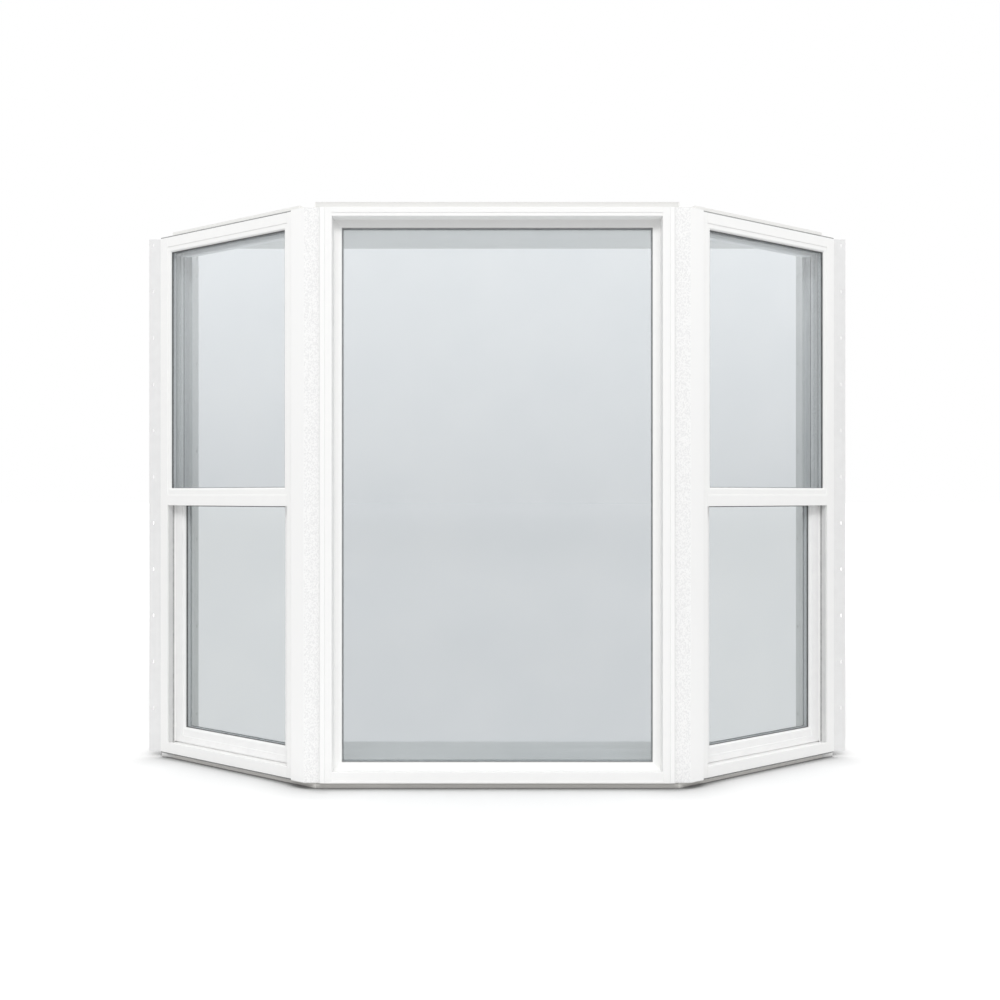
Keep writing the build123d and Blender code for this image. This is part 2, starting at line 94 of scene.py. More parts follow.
# the seat's plies are darker than the head's: painted shade under the frames' overhang
SHADED_SEAT_PLIES = ((0.68, 0.67, 0.645), (0.58, 0.565, 0.54))
# the end blocks' plies are paler than the others: painted light where they stand under the frames'
# overhang
LIT_END_PLIES = ((0.93, 0.93, 0.92), (0.88, 0.88, 0.87))
GLASS_TINT = ((0.835, 0.853, 0.865), (0.822, 0.842, 0.856))
SASH_GLASS_TINT = ((0.868, 0.886, 0.893), (0.856, 0.876, 0.885))
CLEAR_TINT = (0.90, 0.91, 0.915)  # for the light that passes straight through the panes
SEAL = ((0.36, 0.365, 0.365), (0.30, 0.305, 0.305))
WEDGE = ((0.34, 0.345, 0.345), (0.29, 0.295, 0.295))
PALE_WEDGE = ((0.70, 0.705, 0.705), (0.64, 0.645, 0.645))
PILE = ((0.52, 0.52, 0.52), (0.42, 0.42, 0.42))
SEALANT = ((0.93, 0.93, 0.92), (0.88, 0.88, 0.87))
# the dark strip beside the track: painted shade at the back corner of the lower sash's track
TRACK_SHADE_GREY = ((0.30, 0.30, 0.30), (0.24, 0.24, 0.24))
# black of the crosses drawn on the screw heads: painted shade in their recesses
CROSS_SHADE = ((0.05, 0.05, 0.05), (0.08, 0.08, 0.08))
SPACER_METAL = (0.86, 0.875, 0.88)
LOCK_METAL = (0.90, 0.90, 0.89)
SCREW_METAL = (0.62, 0.62, 0.60)

PLY = 0.00177  # thickness of one ply
# painted shade near the floor: how much of their color the plies of the seat and the end blocks keep
# at the underside, and between which heights they gain the rest
PLIES_FOOT_SHADE = 0.65
FOOT_SHADE_ENDS = (0.001, 0.008)
# painted light: how much paler the plies are made on edges that do not face along Y, such as the
# flanks' edges, where less light falls
HEAD_ASLANT_LIGHT = 1.18
SEAT_ASLANT_LIGHT = 1.46

# ---------------------------------------------------------------- settings: small trim
JAMB_FACE = 31 * MM  # from a window's edge to the face of its jamb
GLASS_BITE = 8.5 * MM  # from the glass's edge to the opening of its frame
# sections in mm: of the gaskets as (into the opening, into the room), and of the strips on a jamb
# as (past its face, into the room), where a negative number stands proud of the face
ROOM_GASKET = ((0, 0), (1.9, 0), (1.7, 0.8), (0.8, 1.6), (0, 1.8))
TRACK_SHADE_SECTION = ((0, 0.3), (-0.5, 0.3), (-0.9, 0.8), (-0.9, 2.3), (-0.5, 2.8), (0, 2.8))
JAMB_FACING = ((0, 2.9), (-0.5, 2.9), (-0.8, 3.4), (-0.8, 18.6), (-0.5, 19.4), (0, 19.4))
BRUSH_STEPS = 240
# a screw head's (radius, height) and the outline of one arm of its cross, in head radii
SCREW_HEAD = ((1, 0), (0.97, 0.10), (0.75, 0.20), (0.4, 0.25), (0, 0.26))
CROSS_ARM = (
    (-0.55, -0.09), (-0.42, -0.13), (0.42, -0.13), (0.55, -0.09),
    (0.55, 0.09), (0.42, 0.13), (-0.42, 0.13), (-0.55, 0.09),
)
CROSS_TOP = 0.27  # just above the head's
LOCK_HEAD = 2.2 * MM  # radii of the screw heads
JAMB_HEAD = 4.0 * MM
LOCK_SCREW_OFF = 26.6 * MM  # from the lock's middle
LOCK_SCREW_RISE = 6 * MM  # above the lock's underside
JAMB_SCREWS = 6
JAMB_SCREW_MARGIN = 0.09  # from the jamb's ends
JAMB_SCREW_DEPTH = 0.018  # from the jamb's room edge
JOINT_SCREWS = 5
JOINT_SCREW_MARGIN = 0.12
HOLE_CAP = ((3.0, 0), (3.0, 0.5), (2.7, 0.9), (1.5, 1.05), (0, 1.1))  # (radius, height) in mm
LATCH_OFF_JAMB = 34 * MM  # from the jamb's face to the latch's middle
# in mm: the length, width, underside, top and shift off the jamb of the latch's body and of its
# thumb piece, the corners and bevel of both, and the bars across the thumb piece
THUMB_SHIFT = 6
LATCH_BLOCKS = ((44, 15, 0, 2.0, 0), (16, 9, 2.0, 4.6, THUMB_SHIFT))
LATCH_CORNER = 3
LATCH_BEVEL = (0.7, 0.6)  # inwards and down
LATCH_BARS = 4
BAR_OUTLINE = ((-0.4, -3.4), (0.4, -3.4), (0.4, 3.4), (-0.4, 3.4))
BAR_PITCH = 2.6
BAR_FOOT = 4.5  # just inside the thumb piece's top
BAR_HEIGHT = 0.5
SEALANT_BEAD = (1.8, 1.1)  # half width and height in mm


# ---------------------------------------------------------------- node helpers
def new_material(name):
    """A node material, its node tree and its Principled shader."""
    made = bpy.data.materials.new(name)
    made.use_nodes = True
    return made, made.node_tree, made.node_tree.nodes["Principled BSDF"]


def add(tree, kind, inputs=None, **settings):
    """A node with its settings, its inputs set to values or linked from other sockets."""
    node = tree.nodes.new(kind)
    for name, value in settings.items():
        setattr(node, name, value)
    for name, value in (inputs or {}).items():
        if isinstance(value, bpy.types.NodeSocket):
            tree.links.new(value, node.inputs[name])
        else:
            node.inputs[name].default_value = value
    return node


def rgba(color):
    """A color with its alpha; another node's output stays as it is."""
    return color if isinstance(color, bpy.types.NodeSocket) else (*color, 1.0)


def calculate(tree, operation, *values, clamp=False):
    """The result of a math node on one or two values."""
    inputs = dict(enumerate(values))
    return add(tree, "ShaderNodeMath", inputs, operation=operation, use_clamp=clamp).outputs[0]


def between(tree, value, source, target):
    """The value mapped from the source range to the target range, and held at its ends."""
    inputs = {"Value": value, "From Min": source[0], "From Max": source[1]}
    inputs.update({"To Min": target[0], "To Max": target[1]})
    return add(tree, "ShaderNodeMapRange", inputs).outputs["Result"]


def mix_colors(tree, factor, first, second):
    """A color from first to second as factor goes from 0 to 1."""
    inputs = {0: factor, 6: rgba(first), 7: rgba(second)}
    return add(tree, "ShaderNodeMix", inputs, data_type="RGBA").outputs[2]


def choose(tree, factor, no, yes):
    """A number: no where factor is 0 and yes where it is 1."""
    return add(tree, "ShaderNodeMix", {0: factor, 2: no, 3: yes}, data_type="FLOAT").outputs[0]


def multiplied(tree, color, factor):
    """A color multiplied by a number from another node."""
    inputs = {0: color, "Scale": factor}
    return add(tree, "ShaderNodeVectorMath", inputs, operation="SCALE").outputs["Vector"]


def parts(tree, vector):
    """The X, Y and Z of a vector."""
    return add(tree, "ShaderNodeSeparateXYZ", {0: vector}).outputs


def object_place(tree):
    """The place on the object, in metres in the CAD frame."""
    return add(tree, "ShaderNodeTexCoord").outputs["Object"]


def facing(tree):
    """The X, Y and Z of the surface's normal."""
    return parts(tree, add(tree, "ShaderNodeNewGeometry").outputs["Normal"])


def stretched(along, times):
    """A stretch along one axis, for lines that run with an extrusion or a grain."""
    return [times if axis == along else 1 for axis in (X, Y, Z)]


def noise(tree, place, scale, detail, stretch=(1, 1, 1)):
    """Noise over the object; stretch divides its frequency along an axis."""
    mapped = add(tree, "ShaderNodeMapping", {"Vector": place, "Scale": [1 / s for s in stretch]})
    inputs = {"Vector": mapped.outputs["Vector"], "Scale": scale, "Detail": detail}
    return add(tree, "ShaderNodeTexNoise", inputs).outputs["Fac"]


def dress(tree, shader, color, roughness, relief, strength, depth):
    """Link a shader's color and roughness, and a bump with its strength and its depth in metres."""
    tree.links.new(color, shader.inputs["Base Color"])
    tree.links.new(roughness, shader.inputs["Roughness"])
    bump = add(tree, "ShaderNodeBump", {"Height": relief, "Strength": strength, "Distance": depth})
    tree.links.new(bump.outputs["Normal"], shader.inputs["Normal"])


# ---------------------------------------------------------------- materials
def vinyl(name, colors, roughness, along):
    """Extruded vinyl: soft mottling, faint lines along the extrusion and a fine orange peel."""
    made, tree, shader = new_material(name)
    place = object_place(tree)
    mottle = noise(tree, place, 30.0, 4.0)
    lines = noise(tree, place, 420.0, 2.0, stretched(along, 60))
    peel = noise(tree, place, 900.0, 1.0)
    clouds = between(tree, mottle, (0.35, 0.65), (0.0, 0.7))
    streaks = between(tree, lines, (0.3, 0.7), (0.0, 0.3))
    tone = mix_colors(tree, calculate(tree, "ADD", clouds, streaks), *colors)
    gloss = between(tree, mottle, (0.3, 0.7), (roughness - 0.04, roughness + 0.05))
    dress(tree, shader, tone, gloss, calculate(tree, "ADD", peel, lines), 0.12, 0.0002)
    return made


def glass(name, tints):
    """Clear insulating glass with a cool tint. Light for matt surfaces passes straight through."""
    made, tree, shader = new_material(name)
    clouds = between(tree, noise(tree, object_place(tree), 5.0, 3.0), (0.3, 0.7), (0.0, 1.0))
    tree.links.new(mix_colors(tree, clouds, *tints), shader.inputs["Base Color"])
    shader.inputs["Roughness"].default_value = 0.0
    shader.inputs["IOR"].default_value = 1.5
    shader.inputs["Transmission Weight"].default_value = 1.0
    path = add(tree, "ShaderNodeLightPath").outputs
    straight = calculate(tree, "MAXIMUM", path["Is Shadow Ray"], path["Is Diffuse Ray"])
    clear = add(tree, "ShaderNodeBsdfTransparent", {"Color": rgba(CLEAR_TINT)}).outputs[0]
    mixed = add(tree, "ShaderNodeMixShader", {0: straight, 1: shader.outputs[0], 2: clear})
    tree.links.new(mixed.outputs[0], tree.nodes["Material Output"].inputs["Surface"])
    return made


def rubber(name, colors, roughness):
    """Extruded rubber: slight bloom and a fine matt grain."""
    made, tree, shader = new_material(name)
    place = object_place(tree)
    bloom = between(tree, noise(tree, place, 60.0, 4.0), (0.35, 0.65), (0.0, 1.0))
    tone = mix_colors(tree, bloom, *colors)
    gloss = between(tree, bloom, (0.0, 1.0), (roughness, roughness + 0.12))
    dress(tree, shader, tone, gloss, noise(tree, place, 1500.0, 1.0), 0.2, 0.0002)
    return made


def gasket_rubber(name, center, beside, roughness):
    """Gasket rubber with one color in the picture window and another in the windows beside it."""
    made, tree, shader = new_material(name)
    place = object_place(tree)
    across = calculate(tree, "ABSOLUTE", parts(tree, place)[X])
    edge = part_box("center_glazing_frame")[1][0]
    flank = between(tree, across, (edge, edge + 2 * MM), (0.0, 1.0))
    levels = (0.92, 1.15)
    bloom = between(tree, noise(tree, place, 60.0, 4.0), (0.35, 0.65), levels)
    tone = multiplied(tree, mix_colors(tree, flank, center, beside), bloom)
    gloss = between(tree, bloom, levels, (roughness, roughness + 0.12))
    dress(tree, shader, tone, gloss, noise(tree, place, 1500.0, 1.0), 0.2, 0.0002)
    return made


def metal(name, color, roughness, metallic, along):
    """Satin metal with fine rolling lines along one axis."""
    made, tree, shader = new_material(name)
    lines = noise(tree, object_place(tree), 800.0, 2.0, stretched(along, 40))
    darker = tuple(c * 0.9 for c in color)
    tone = mix_colors(tree, between(tree, lines, (0.3, 0.7), (0.0, 1.0)), color, darker)
    gloss = between(tree, lines, (0.3, 0.7), (roughness, roughness + 0.15))
    shader.inputs["Metallic"].default_value = metallic
    dress(tree, shader, tone, gloss, lines, 0.1, 0.0001)
    return made


def board(name, along, across, edges, aslant=1.0, foot=1.0):
    """Primed veneer plywood: grain along one axis shows through the primer, and plies on the edges.

    The plies lie one on another along the axis across, and edges holds their colors. The colors are
    multiplied by aslant, painted light on edges that do not face along Y, and by foot, painted shade
    at the underside.
    """
    made, tree, shader = new_material(name)
    place = object_place(tree)
    figure = noise(tree, place, 22.0, 6.0, stretched(along, 14))
    pores = noise(tree, place, 420.0, 2.0, stretched(along, 24))
    depth = parts(tree, place)[across]
    normal = facing(tree)
    wave = calculate(tree, "SINE", calculate(tree, "MULTIPLY", depth, math.pi / PLY))
    plies = mix_colors(tree, between(tree, wave, (-0.4, 0.8), (0.0, 1.0)), *edges)
    # painted light: paler plies on edges that do not face along Y
    straight = calculate(tree, "ABSOLUTE", normal[Y])
    painted_light = between(tree, straight, (0.90, 0.99), (aslant, 1.0))
    # painted shade: the plies grow darker towards the underside, where the board meets the floor
    darker = between(tree, depth, FOOT_SHADE_ENDS, (foot, 1.0))
    plies = multiplied(tree, plies, calculate(tree, "MULTIPLY", painted_light, darker))
    face = mix_colors(tree, between(tree, figure, (0.35, 0.7), (0.0, 1.0)), *PRIMER)
    flat = calculate(tree, "ABSOLUTE", normal[across])
    edge = calculate(tree, "SUBTRACT", 1.0, flat, clamp=True)
    tone = mix_colors(tree, edge, face, plies)
    gloss = between(tree, pores, (0.3, 0.7), (0.5, 0.68))
    dress(tree, shader, tone, gloss, calculate(tree, "ADD", figure, pores), 0.18, 0.0005)
    return made


def embossed(name, plain, hollows, edges, roughness):
    """The corner cover's vinyl: grained where it faces straight outwards, smooth on its lips.

    edges is the color of the painted shade on the cut edges and in the crease beside the picture
    window.
    """
    made, tree, shader = new_material(name)
    place = object_place(tree)
    across = calculate(tree, "ABSOLUTE", parts(tree, place)[X])
    normal = facing(tree)
    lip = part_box("center_frame_sill")[1][0]  # the lip begins where the picture window's frame ends
    front = between(tree, normal[Y], (-0.9999, -0.999), (1.0, 0.0))
    beyond = between(tree, across, (lip, lip + 0.0005), (0.0, 1.0))
    grain = between(tree, noise(tree, place, 330.0, 4.0, (1, 1, 1.3)), (0.42, 0.56), (1.0, 0.0))
    pressed = calculate(tree, "MULTIPLY", calculate(tree, "MULTIPLY", front, beyond), grain)
    # painted shade: a dark line in the crease beside the picture window and on the cut edges
    off = calculate(tree, "ABSOLUTE", calculate(tree, "SUBTRACT", across, lip + 0.0008))
    near = between(tree, off, (0.0005, 0.0011), (0.7, 0.0))
    crease = calculate(tree, "MULTIPLY", near, front)
    cut = between(tree, calculate(tree, "ABSOLUTE", normal[X]), (0.97, 0.99), (0.0, 1.0))
    painted_shade = calculate(tree, "MAXIMUM", crease, cut)
    tone = mix_colors(tree, painted_shade, mix_colors(tree, pressed, plain, hollows), edges)
    gloss = between(tree, pressed, (0.0, 1.0), (roughness, roughness + 0.2))
    drop = calculate(tree, "MULTIPLY", calculate(tree, "ADD", pressed, painted_shade), -1.0)
    dress(tree, shader, tone, gloss, drop, 0.35, 0.0004)
    return made


# each material's maker and what it is given after the name: colors, roughness, axes
LOOKS = {
    "frame_upright": (vinyl, WHITE_VINYL, 0.36, Z),
    "frame_level": (vinyl, WHITE_VINYL, 0.36, X),
    "sash_upright": (vinyl, SASH_VINYL, 0.34, Z),
    "sash_level": (vinyl, SASH_VINYL, 0.34, X),
    "cover": (embossed, COVER_PLAIN, COVER_HOLLOWS, COVER_SHADE, 0.38),
    "fin": (vinyl, FIN_VINYL, 0.45, Z),
    "glass": (glass, GLASS_TINT),
    "sash_glass": (glass, SASH_GLASS_TINT),
    "gasket": (gasket_rubber, PICTURE_GASKET, FLANK_GASKET, 0.6),
    "seal": (rubber, SEAL, 0.7),
    "spacer": (metal, SPACER_METAL, 0.4, 0.15, Z),
    "lock": (metal, LOCK_METAL, 0.35, 0.0, X),
    "wedge": (rubber, WEDGE, 0.6),
    "pale_wedge": (rubber, PALE_WEDGE, 0.6),
    "pile": (rubber, PILE, 0.9),
    "sealant": (rubber, SEALANT, 0.5),
    "screw": (metal, SCREW_METAL, 0.3, 0.9, X),
    "strip": (rubber, TRACK_SHADE_GREY, 0.7),
    "insert": (vinyl, SHADED_INSERT_VINYL, 0.5, Z),
    "recess": (rubber, CROSS_SHADE, 0.7),
    "seat": (board, X, Z, SHADED_SEAT_PLIES, SEAT_ASLANT_LIGHT, PLIES_FOOT_SHADE),
    "end_block": (board, X, Z, LIT_END_PLIES, 1.0, PLIES_FOOT_SHADE),
    "board_level": (board, X, Z, PRIMED_PLIES, HEAD_ASLANT_LIGHT),
    "board_upright": (board, Z, X, PRIMED_PLIES),
}
MATERIALS = {name: make(name, *given) for name, (make, *given) in LOOKS.items()}
# materials of the CAD nodes whose names end in a word of their own
ENDINGS = {
    "gaskets": "gasket",
    "seals": "seal",
    "spacers": "spacer",
    "lock": "lock",
    "fin": "fin",
    "cover": "cover",
    "side_jamb": "board_upright",
    "post": "board_upright",
}


def material_for(name):
    """The material of a CAD node, by its name."""
    for word, kind in ENDINGS.items():
        if name.endswith(word):
            return kind
    if name.endswith("glass"):
        return "sash_glass" if "lower" in name else "glass"
    if name.endswith("board"):
        return "seat" if "seat" in name else "board_level"
    level = name.endswith(("head", "sill", "rail", "_glazing_frame"))
    return ("sash" if "sash" in name else "frame") + ("_level" if level else "_upright")


for name, node in nodes.items():
    node.data.materials.clear()
    node.data.materials.append(MATERIALS[material_for(name)])


# ---------------------------------------------------------------- places on a window
class Window:
    """Places by s along the window from mid-width, n from its outside face to the room, and z up.

    The corners come from the foot of the window's sill, a level rectangle.
    """

    def __init__(self, name):
        foot = [v.co.copy() for v in nodes[f"{name}_frame_sill"].data.vertices]
        lowest = min(p.z for p in foot)
        foot = [p for p in foot if p.z < lowest + NEAR]
        starts = {"left": lambda p: p.x, "center": lambda p: p.x + p.y, "right": lambda p: p.y}
        ends = {"left": lambda p: p.y, "center": lambda p: p.y - p.x, "right": lambda p: -p.x}
        start, end = min(foot, key=starts[name]), min(foot, key=ends[name])
        self.width = (end - start).length
        self.origin = (start + end) / 2
        self.origin.z = 0
        self.along = (end - start).normalized()
        self.inward = Vector((-self.along.y, self.along.x, 0))

    def place(self, s, n, z):
        return self.origin + self.along * s + self.inward * n + Vector((0, 0, z))

    def extent(self, node):
        """A node's lowest and highest (s, n, z) on this window."""
        points = []
        for vertex in nodes[node].data.vertices:
            d = vertex.co - self.origin
            points.append((d.dot(self.along), d.dot(self.inward), vertex.co.z))
        axes = list(zip(*points))
        return [min(axis) for axis in axes], [max(axis) for axis in axes]


WINDOWS = {name: Window(name) for name in ("left", "center", "right")}


def jamb_of(name, hand):
    """Which jamb of a single-hung window lies at its low (-1) or high (1) end of s."""
    return "outer" if (hand == -1) == (name == "left") else "inner"


def spaced(low, high, margin, count):
    """Heights at equal steps from low to high, a margin away from both."""
    return [low + margin + (high - low - 2 * margin) * i / (count - 1) for i in range(count)]


# ---------------------------------------------------------------- making pieces
def piece(name, made, material, smooth=False):
    """Finish a bmesh as a piece of the part."""
    mesh = bpy.data.meshes.new(name)
    bmesh.ops.recalc_face_normals(made, faces=made.faces)
    made.to_mesh(mesh)
    made.free()
    mesh.materials.append(MATERIALS[material])
    for polygon in mesh.polygons:
        polygon.use_smooth = smooth
    obj = bpy.data.objects.new(name, mesh)
    bpy.context.scene.collection.objects.link(obj)
    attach(obj, "root")


def loft(made, loops, closed=False):
    """Join loops of points with faces, capped at both ends, or closed round to the first loop."""
    rows = [[made.verts.new(p) for p in loop] for loop in loops]
    count = len(rows[0])
    following = rows[1:] + rows[:1] if closed else rows[1:]
    for first, second in zip(rows, following):
        for i in range(count):
            j = (i + 1) % count
            made.faces.new((first[i], first[j], second[j], second[i]))
    if not closed:
        made.faces.new(rows[0][::-1])
        made.faces.new(rows[-1])


def upright(made, window, section, heights):
    """An upright form between heights, with a section of (s, n) points on a window."""
    loft(made, [[window.place(s, n, z) for s, n in section] for z in heights])


def ring(window, low, high, profile):
    """A mitred ring inside an opening from low to high (s, z). profile is (inwards, n) points."""
    (s0, z0), (s1, z1) = low, high
    loops = []
    for s, z, ds, dz in ((s0, z0, 1, 1), (s1, z0, -1, 1), (s1, z1, -1, -1), (s0, z1, 1, -1)):
        loops.append([window.place(s + ds * w, n, z + dz * w) for w, n in profile])
    made = bmesh.new()
    loft(made, loops, closed=True)
    return made


def disc(made, center, normal, profile, steps=20):
    """A turned form with a flat base. profile is (radius, height) points from rim to middle."""
    turn = normal.to_track_quat("Z", "Y")
    rows = []
    for radius, height in profile:
        if radius == 0:
            rows.append([made.verts.new(center + normal * height)] * steps)
            continue
        row = []
        for i in range(steps):
            angle = 2 * math.pi * i / steps
            spoke = Vector((radius * math.cos(angle), radius * math.sin(angle), height))
            row.append(made.verts.new(center + turn @ spoke))
        rows.append(row)
    for first, second in zip(rows, rows[1:]):
        for i in range(steps):
            j = (i + 1) % steps
            corners = [first[i], first[j], second[j], second[i]]
            made.faces.new(dict.fromkeys(corners))  # a triangle at the middle
    made.faces.new(rows[0][::-1])


def rounded(s, n, a, b, r):
    """Points round a rectangle about (s, n) with half sizes a and b and corners of radius r."""
    points = []
    corners = ((a - r, b - r, 0), (-a + r, b - r, 90), (-a + r, -b + r, 180), (a - r, -b + r, 270))
    for ds, dn, start in corners:
        for k in range(5):
            angle = math.radians(start + 22.5 * k)
            points.append((s + ds + r * math.cos(angle), n + dn + r * math.sin(angle)))
    return points


# ---------------------------------------------------------------- small trim
def add_room_gaskets():
    """A wedge gasket round the room side of each glass unit."""
    for name, window in WINDOWS.items():
        lights = ("center",) if name == "center" else (f"{name}_upper", f"{name}_lower")
        for light in lights:
            (s0, _, z0), (s1, back, z1) = window.extent(f"{light}_glass")
            low = (s0 + GLASS_BITE, z0 + GLASS_BITE)
            high = (s1 - GLASS_BITE, z1 - GLASS_BITE)
            profile = [(w * MM, back + n * MM) for w, n in ROOM_GASKET]
            kind = "wedge" if light.endswith("lower") else "pale_wedge"
            piece(f"{light}_room_gasket", ring(window, low, high, profile), kind)


def add_jamb_strips():
    """In the jambs beside the lower sashes: pile strips that the sashes slide against, with slightly
    ragged tips, and a grey insert in front of each, its grey painted shade in the recess."""
    spread = random.Random(7)
    for name, _ in FLANKS:
        window = WINDOWS[name]
        (_, _, z0), _ = window.extent(f"{name}_sash_bottom_rail")
        (_, _, z1), _ = window.extent(f"{name}_meeting_rail")
        (_, face, _), _ = window.extent(f"{name}_sash_outer_stile")
        clear = window.width / 2 - JAMB_FACE
        floor = clear + 3 * MM  # of the groove
        front, back = face - 10 * MM, face - 3 * MM
        backing, shoulder = floor - 1 * MM, floor - 1.2 * MM
        insert = [
            (clear, 5 * MM), (clear - 0.5 * MM, 5.4 * MM), (clear - 0.8 * MM, 6.2 * MM),
            (clear - 0.8 * MM, front - 1.6 * MM), (clear - 0.5 * MM, front - 0.8 * MM),
            (clear, front - 0.4 * MM),
        ]
        for hand in (-1, 1):
            loops = []
            for z in spaced(z0, z1, 0, BRUSH_STEPS + 1):
                tip = clear + spread.uniform(0.1, 0.9) * MM
                middle = (front + back) / 2 + spread.uniform(-0.5, 0.5) * MM
                pile = [
                    (floor, front), (floor, back), (backing, back), (shoulder, middle + 2 * MM),
                    (tip, middle + 1.2 * MM), (tip, middle - 1.2 * MM),
                    (shoulder, middle - 2 * MM), (backing, front),
                ]
                loops.append([window.place(hand * s, n, z) for s, n in pile])
            jamb = jamb_of(name, hand)
            made = bmesh.new()
            loft(made, loops)
            piece(f"{name}_{jamb}_brush_seal", made, "pile")
            made = bmesh.new()
            upright(made, window, [(hand * s, n) for s, n in insert], (z0, z1))
            piece(f"{name}_{jamb}_screen_insert", made, "insert")


def add_head_liners():
    """Above the lower sash, on the room side of its track: a liner under the head, and on each jamb
    a dark strip beside the track and a grey facing, both painted shade."""
    for name, _ in FLANKS:
        window = WINDOWS[name]
        low = window.extent(f"{name}_sash_top_rail")[1][2] + 2 * MM
        top = window.extent(f"{name}_upper_glazing_frame")[1][2]
        front = window.extent(f"{name}_sash_outer_stile")[1][1] + 1 * MM  # the back of the track
        rear = window.extent(f"{name}_frame_outer_jamb")[1][1] - 1 * MM
        foot = top - 14.5 * MM
        clear = window.width / 2 - JAMB_FACE
        liner = [
            (front + 1.5 * MM, top), (front + 1.5 * MM, foot + 3 * MM),
            (front + 2.4 * MM, foot + 0.9 * MM), (front + 4.5 * MM, foot), (rear - 2 * MM, foot),
            (rear, foot + 2 * MM), (rear, top),
        ]
        made = bmesh.new()
        loft(made, [[window.place(s, n, z) for n, z in liner] for s in (-clear, clear)])
        piece(f"{name}_head_liner", made, "sash_level")
        for hand in (-1, 1):
            for kind, section, material, slot in (
                ("track_shade_strip", TRACK_SHADE_SECTION, "strip", "seal"),
                ("jamb_facing", JAMB_FACING, "insert", "frame"),
            ):
                placed = [(hand * (clear + s * MM), front + n * MM) for s, n in section]
                made = bmesh.new()
                upright(made, window, placed, (low, foot))
                piece(f"{name}_{jamb_of(name, hand)}_{kind}", made, material)


def add_end_blocks():
    """A plywood filler under each outer corner of the frames, where the seat board stops short."""
    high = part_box("seat_board")[1]
    for name, side in FLANKS:
        window = WINDOWS[name]
        foot = window.extent(f"{name}_frame_sill")[0][2]
        end = [v.co for v in nodes["seat_board"].data.vertices if v.co.x * side > high.x - NEAR]
        corner = min(end, key=lambda p: p.y)
        x = corner.x + side * 0.2 * MM
        outer = side * (window.width / 2 - 2 * MM)
        front, back = window.place(outer, 4 * MM, 0), window.place(outer, 60 * MM, 0)
        plan = [front, Vector((x, corner.y + 1 * MM, 0)), Vector((x, back.y, 0)), back]
        middle = sum(plan, Vector()) / 4
        bevel = 0.4 * MM
        loops = []
        for z, less in ((0, bevel), (bevel, 0), (foot - 0.6 * MM, 0), (foot - 0.2 * MM, bevel)):
            loops.append([p - (p - middle).normalized() * less + Vector((0, 0, z)) for p in plan])
        made = bmesh.new()
        loft(made, loops)
        piece(f"{name}_end_block", made, "end_block")


def add_screws(name, spots, radius):
    """Flat heads with a cross recess. spots are (center, outward direction, turn of the cross)."""
    heads, crosses = bmesh.new(), bmesh.new()
    for center, normal, angle in spots:
        disc(heads, center, normal, [(r * radius, h * radius) for r, h in SCREW_HEAD])
        turn = normal.to_track_quat("Z", "Y") @ Matrix.Rotation(angle, 3, "Z").to_quaternion()
        for quarter in (0, math.pi / 2):
            arm = Matrix.Rotation(quarter, 3, "Z")
            base = []
            for x, y in CROSS_ARM:
                base.append(center + turn @ (arm @ Vector((x * radius, y * radius, 0))))
            # each cross is a black solid standing on the head: painted shade for its recess
            loft(crosses, [base, [p + normal * CROSS_TOP * radius for p in base]])
    piece(f"{name}_heads", heads, "screw", True)
    piece(f"{name}_recesses", crosses, "recess")


def add_fasteners():
    """Screws of the sash locks and of the side jambs. Gives the places of the capped screws that
    join the picture window's frame to the posts, as add_screws takes them."""
    spread = random.Random(3)
    locks, jambs, joints = [], [], []
    center = WINDOWS["center"]
    for name, side in FLANKS:
        window, inwards = WINDOWS[name], Vector((-side, 0, 0))
        low, high = window.extent(f"{name}_sash_lock")
        middle, depth = (low[0] + high[0]) / 2, (low[1] + high[1]) / 2
        for hand in (-1, 1):
            spot = window.place(middle + hand * LOCK_SCREW_OFF, depth, low[2] + LOCK_SCREW_RISE)
            locks.append((spot, Vector((0, 0, 1)), spread.uniform(0, 1.5)))
        low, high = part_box(f"{name}_side_jamb")
        inner = low.x if side == 1 else high.x
        for z in spaced(low.z, high.z, JAMB_SCREW_MARGIN, JAMB_SCREWS):
            spot = Vector((inner, high.y - JAMB_SCREW_DEPTH, z))
            jambs.append((spot, inwards, spread.uniform(0, 1.5)))
        low, high = center.extent(f"center_frame_{name}_jamb")
        inner = low[0] if side == 1 else high[0]
        back = center.extent("center_glazing_frame")[1][1]
        depth = (back + high[1] - 12 * MM) / 2 - 1 * MM
        for z in spaced(low[2], high[2], JOINT_SCREW_MARGIN, JOINT_SCREWS):
            joints.append((center.place(inner, depth, z), inwards, spread.uniform(0, 1.5)))
    add_screws("lock_screw", locks, LOCK_HEAD)
    add_screws("jamb_screw", jambs, JAMB_HEAD)
    return joints


def add_hole_caps(spots):
    """Round caps over the screws that join the picture window's frame to the posts."""
    made = bmesh.new()
    for center, normal, _ in spots:
        disc(made, center, normal, [(r * MM, h * MM) for r, h in HOLE_CAP])
    piece("jamb_hole_caps", made, "sash_upright", True)


